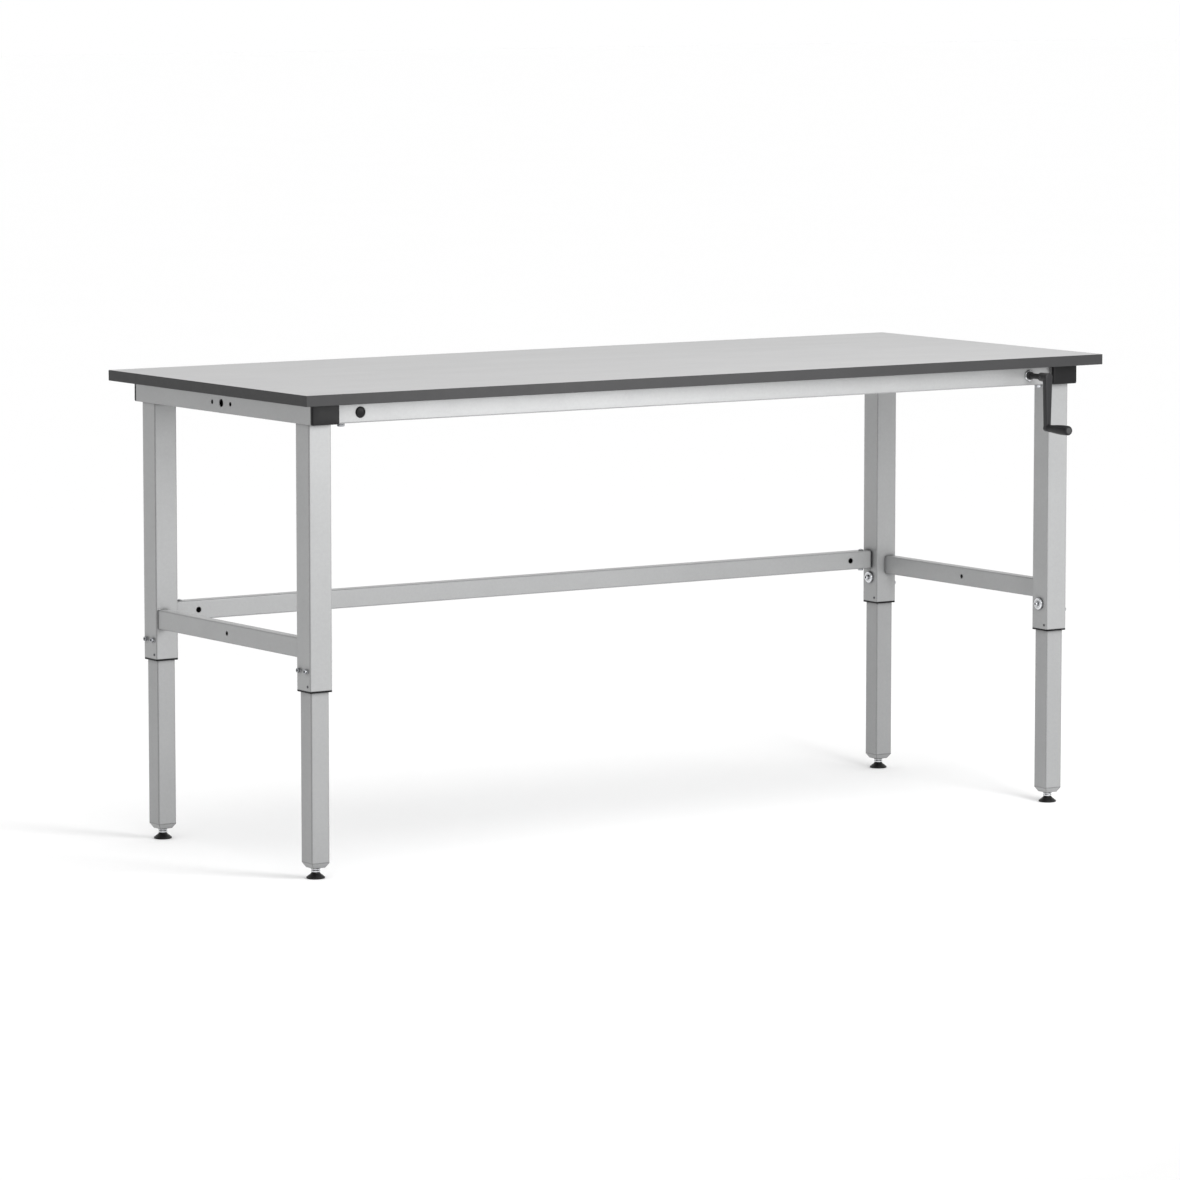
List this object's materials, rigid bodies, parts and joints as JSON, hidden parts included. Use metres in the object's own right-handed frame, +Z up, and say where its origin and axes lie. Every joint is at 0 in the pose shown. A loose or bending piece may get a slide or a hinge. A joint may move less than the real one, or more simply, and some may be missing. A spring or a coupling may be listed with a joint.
{
  "type": "height adjustable standing desk",
  "caption": "Height adjustable standing desk: rectangular worktop on a square-tube frame with telescopic legs, low rails, levelling feet and a hand crank that lifts it by oil cylinders.",
  "frame": {"origin": "on the floor under the middle of the whole outline, crank included; the worktop's centre is 43 mm behind it", "axes": "+X to the user's right along the worktop's long side, +Y to the back, +Z up; the crank is at the front right"},
  "size_m": [2, 0.8866, 0.98],
  "materials": {
    "board": "raw chipboard",
    "laminate": "fine matt laminate, light grey",
    "edge_band": "satin plastic band, dark grey",
    "frame_paint": "silver-grey powder coat",
    "inner_paint": "silver-grey powder coat, a little darker",
    "cap_plastic": "moulded, fine texture",
    "black_plastic": "smooth moulded",
    "white_plastic": "smooth moulded",
    "grip_plastic": "fine moulded grain",
    "crank_black": "black powder coat",
    "foot_rubber": "matt, steel stud moulded in",
    "hose": "smooth",
    "zinc": "bright zinc plating",
    "zinc_sheet": "zinc plated sheet",
    "dark_steel": "blackened",
    "raw_steel": "machined",
    "rod_steel": "hard chrome",
    "aluminium": "sawn and machined",
    "brass": "machined"
  },
  "bodies": {
    "frame": {"top_core": "board", "top_laminate": "laminate", "edge_band": "edge_band", "end_beam_left": "frame_paint", "end_beam_right": "frame_paint", "beam_caps": "cap_plastic", "front_beam": "frame_paint", "rear_beam": "frame_paint", "tongues": "raw_steel", "leg_tube_fl": "frame_paint", "leg_tube_fr": "frame_paint", "leg_tube_rl": "frame_paint", "leg_tube_rr": "frame_paint", "side_rail_left": "frame_paint", "side_rail_right": "frame_paint", "rear_stretcher": "frame_paint", "glide_bushes": "black_plastic", "lift_cylinders": "raw_steel", "hoses": "hose", "hose_nuts": "brass", "pump_cradle": "zinc_sheet", "pump_block": "aluminium", "crank_bush": "zinc", "beam_plug": "black_plastic", "guide_flanges": "zinc", "guide_bolts": "zinc", "side_bolts": "zinc", "bush_screws": "dark_steel", "beam_bolts": "zinc", "stretcher_bolts": "zinc", "top_screws": "zinc"},
    "crank": {"crank_shaft": "crank_black", "crank_arm": "crank_black", "grip_pin": "rod_steel"},
    "grip": {"crank_grip": "grip_plastic", "grip_cap": "cap_plastic"},
    "yoke": {"pump_yoke": "raw_steel", "pump_pistons": "rod_steel"},
    "inner_leg_fl": {"inner_tube_fl": "inner_paint", "top_glide_fl": "white_plastic", "end_plug_fl": "inner_paint", "piston_rod_fl": "rod_steel"},
    "foot_fl": {"foot_fl": "foot_rubber"},
    "inner_leg_fr": {"inner_tube_fr": "inner_paint", "top_glide_fr": "white_plastic", "end_plug_fr": "inner_paint", "piston_rod_fr": "rod_steel"},
    "foot_fr": {"foot_fr": "foot_rubber"},
    "inner_leg_rl": {"inner_tube_rl": "inner_paint", "top_glide_rl": "white_plastic", "end_plug_rl": "inner_paint", "piston_rod_rl": "rod_steel"},
    "foot_rl": {"foot_rl": "foot_rubber"},
    "inner_leg_rr": {"inner_tube_rr": "inner_paint", "top_glide_rr": "white_plastic", "end_plug_rr": "inner_paint", "piston_rod_rr": "rod_steel"},
    "foot_rr": {"foot_rr": "foot_rubber"}
  },
  "joints": [
    {"name": "lift", "type": "slide", "parent": "inner_leg_fl", "child": "frame", "axis": [0, 0, 1], "range_m": [-0.25, 0.05]},
    {"name": "leg_fr_slide", "type": "slide", "parent": "frame", "child": "inner_leg_fr", "axis": [0, 0, -1], "range_m": [-0.25, 0.05]},
    {"name": "leg_rl_slide", "type": "slide", "parent": "frame", "child": "inner_leg_rl", "axis": [0, 0, -1], "range_m": [-0.25, 0.05]},
    {"name": "leg_rr_slide", "type": "slide", "parent": "frame", "child": "inner_leg_rr", "axis": [0, 0, -1], "range_m": [-0.25, 0.05]},
    {"name": "crank_turn", "type": "hinge", "parent": "frame", "child": "crank", "pos_m": [0.842, 0, 0.937], "axis": [0, 1, 0], "range_deg": [-9600, 1920]},
    {"name": "grip_spin", "type": "hinge", "parent": "crank", "child": "grip", "pos_m": [0.842, -0.41, 0.828], "axis": [0, 1, 0], "continuous": true},
    {"name": "pump_stroke", "type": "slide", "parent": "frame", "child": "yoke", "axis": [0, 1, 0], "range_m": [-0.16, 0.032]},
    {"name": "foot_fl_level", "type": "slide", "parent": "inner_leg_fl", "child": "foot_fl", "axis": [0, 0, -1], "range_m": [0, 0.01]},
    {"name": "foot_fr_level", "type": "slide", "parent": "inner_leg_fr", "child": "foot_fr", "axis": [0, 0, -1], "range_m": [0, 0.01]},
    {"name": "foot_rl_level", "type": "slide", "parent": "inner_leg_rl", "child": "foot_rl", "axis": [0, 0, -1], "range_m": [0, 0.01]},
    {"name": "foot_rr_level", "type": "slide", "parent": "inner_leg_rr", "child": "foot_rr", "axis": [0, 0, -1], "range_m": [0, 0.01]}
  ],
  "couplings": [
    {"joint": "leg_fr_slide", "follows": "lift", "ratio": 1},
    {"joint": "leg_rl_slide", "follows": "lift", "ratio": 1},
    {"joint": "leg_rr_slide", "follows": "lift", "ratio": 1},
    {"joint": "crank_turn", "follows": "lift", "rad_per_m": 670.21},
    {"joint": "pump_stroke", "follows": "lift", "ratio": 0.64}
  ]
}
